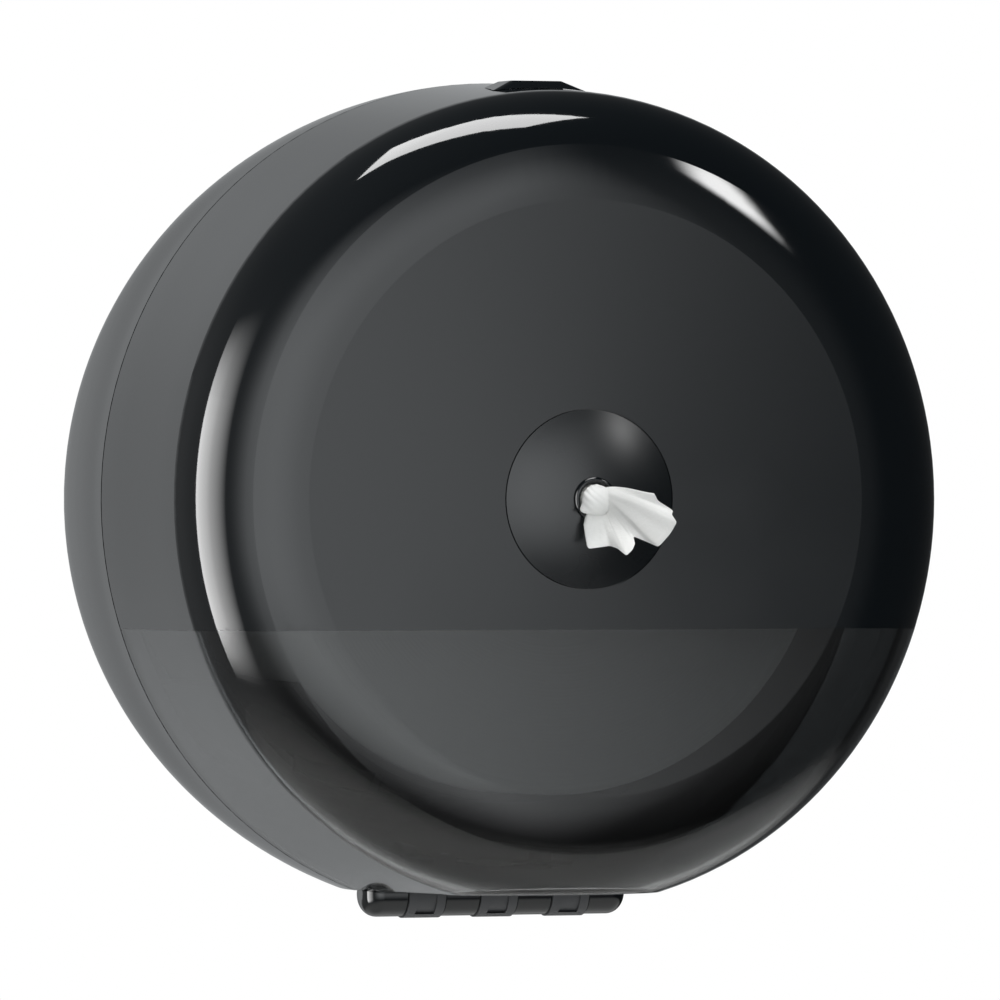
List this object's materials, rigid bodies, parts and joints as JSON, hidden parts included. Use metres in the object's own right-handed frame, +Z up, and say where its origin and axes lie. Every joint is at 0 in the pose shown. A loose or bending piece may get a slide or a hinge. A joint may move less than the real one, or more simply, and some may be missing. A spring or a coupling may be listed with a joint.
{
  "type": "toilet paper dispenser",
  "caption": "Round black wall-mounted centre-feed toilet paper dispenser: hinged drum cover with smoked window, push lock on top and a nozzle that gathers the tissue.",
  "frame": {"origin": "middle of the back face, on the wall, on the axis of the round body", "axes": "+X to the right seen from the front, +Y into the wall, +Z up; the front faces -Y"},
  "size_m": [0.2194, 0.1855, 0.2198],
  "materials": {
    "gloss_black": "gloss",
    "smoked_clear": "gloss",
    "grey_plastic": "matte",
    "inner_black": "matte",
    "steel": "satin",
    "tissue": "matte"
  },
  "bodies": {
    "housing": {"rear_housing": "gloss_black", "back_plate": "inner_black", "roll_cradle": "inner_black", "cradle_screws": "steel", "strike_plate": "steel", "strike_screws": "steel", "base_hinge_leaf": "grey_plastic", "base_leaf_screws": "steel", "hinge_pin": "steel", "paper_roll": "tissue"},
    "cover": {"front_cover": "gloss_black", "level_window": "smoked_clear", "cover_hinge_leaf": "gloss_black", "cover_leaf_screws": "steel", "nozzle_dome": "gloss_black", "nozzle_bush": "gloss_black", "nozzle_funnel": "inner_black", "nozzle_retainer": "inner_black", "lock_bezel": "gloss_black", "lock_cage": "inner_black", "lock_screws": "steel", "paper_tail": "tissue", "latch_spring": "steel"},
    "lock_button": {"lock_button": "gloss_black", "latch_hook": "inner_black", "latch_screw": "steel"}
  },
  "joints": [
    {"name": "cover_hinge", "type": "hinge", "parent": "housing", "child": "cover", "pos_m": [0, -0.0845, -0.1037], "axis": [1, 0, 0], "range_deg": [0, 100]},
    {"name": "button_press", "type": "slide", "parent": "cover", "child": "lock_button", "axis": [0, 0, -1], "range_m": [0, 0.003], "stiffness_N_per_m": 1200, "springref_m": -0.002, "deforming": ["latch_spring"]}
  ]
}
